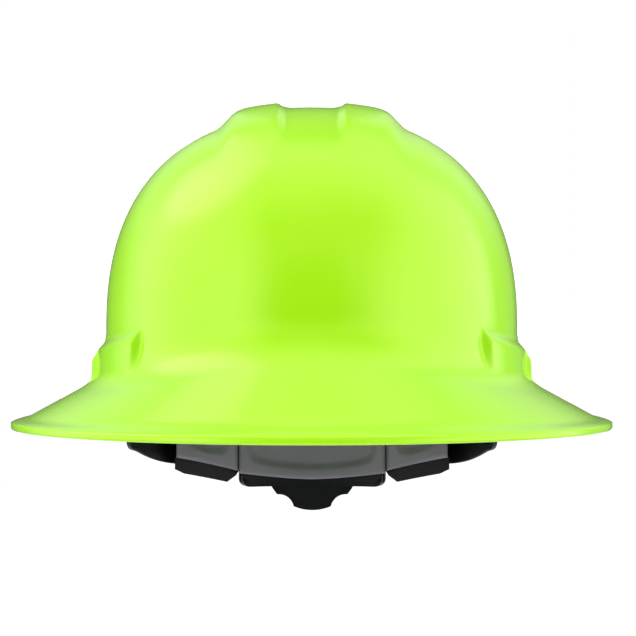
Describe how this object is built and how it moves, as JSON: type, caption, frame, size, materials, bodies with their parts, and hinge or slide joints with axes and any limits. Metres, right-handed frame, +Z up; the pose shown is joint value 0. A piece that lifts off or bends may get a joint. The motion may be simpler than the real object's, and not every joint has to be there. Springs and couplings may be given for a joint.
{
  "type": "hard hat",
  "caption": "Full-brim hard hat with twin crown ridges, side accessory slots, webbing suspension and a rear ratchet knob that turns to fit the head.",
  "frame": {"origin": "middle of the head opening, level with the edge of the brim", "axes": "+Z up; -Y is the front of the hat (the edge over the wearer's eyes) and +Y the nape with the ratchet; +X is the wearer's left"},
  "size_m": [0.286, 0.322, 0.2055],
  "materials": {
    "shell_plastic": "smooth glossy moulded high-density polyethylene, high-visibility lime",
    "suspension_plastic": "black moulded nylon with a fine satin texture",
    "band_plastic": "black flexible polyethylene, satin",
    "webbing": "black woven polyester webbing",
    "sweatband": "black knitted terry over foam",
    "nape_pad": "grey soft moulded pad, satin",
    "steel": "zinc-plated steel"
  },
  "bodies": {
    "hat": {"shell": "shell_plastic", "suspension_key_front_left": "suspension_plastic", "suspension_key_front_right": "suspension_plastic", "suspension_key_rear_left": "suspension_plastic", "suspension_key_rear_right": "suspension_plastic", "crown_strap_lower": "webbing", "crown_strap_upper": "webbing", "headband": "band_plastic", "brow_pad": "sweatband", "arm_rivets": "suspension_plastic"},
    "nape": {"nape_band": "suspension_plastic", "nape_pad_centre": "nape_pad", "nape_pad_left": "nape_pad", "nape_pad_right": "nape_pad", "ratchet_base": "suspension_plastic", "ratchet_cover": "suspension_plastic", "nape_arm_left": "band_plastic", "nape_arm_right": "band_plastic"},
    "strip_left": {"toothed_strip_left": "band_plastic"},
    "strip_right": {"toothed_strip_right": "band_plastic"},
    "knob": {"ratchet_knob": "suspension_plastic", "drive_pinion": "suspension_plastic", "pawl_spring": "suspension_plastic", "axle_washer": "steel", "axle_screw": "steel"}
  },
  "joints": [
    {"name": "knob_turn", "type": "hinge", "parent": "nape", "child": "knob", "pos_m": [0, 0.1137, -0.026], "axis": [0, -1, 0], "range_deg": [-270, 270], "deforming": ["pawl_spring"]},
    {"name": "nape_slide", "type": "slide", "parent": "hat", "child": "nape", "axis": [0, -1, 0], "range_m": [-0.02592, 0.02592], "deforming": ["nape_arm_left", "nape_arm_right"]},
    {"name": "strip_left_slide", "type": "hinge", "parent": "nape", "child": "strip_left", "pos_m": [0, 0.017, -0.026], "axis": [0, 0, 1], "range_deg": [-15.83, 15.83]},
    {"name": "strip_right_slide", "type": "hinge", "parent": "nape", "child": "strip_right", "pos_m": [0, 0.017, -0.026], "axis": [0, 0, 1], "range_deg": [-16.14, 16.14]}
  ],
  "couplings": [
    {"joint": "nape_slide", "follows": "knob_turn", "m_per_rad": 0.0055},
    {"joint": "strip_left_slide", "follows": "knob_turn", "ratio": 0.058604},
    {"joint": "strip_right_slide", "follows": "knob_turn", "ratio": -0.05975}
  ]
}
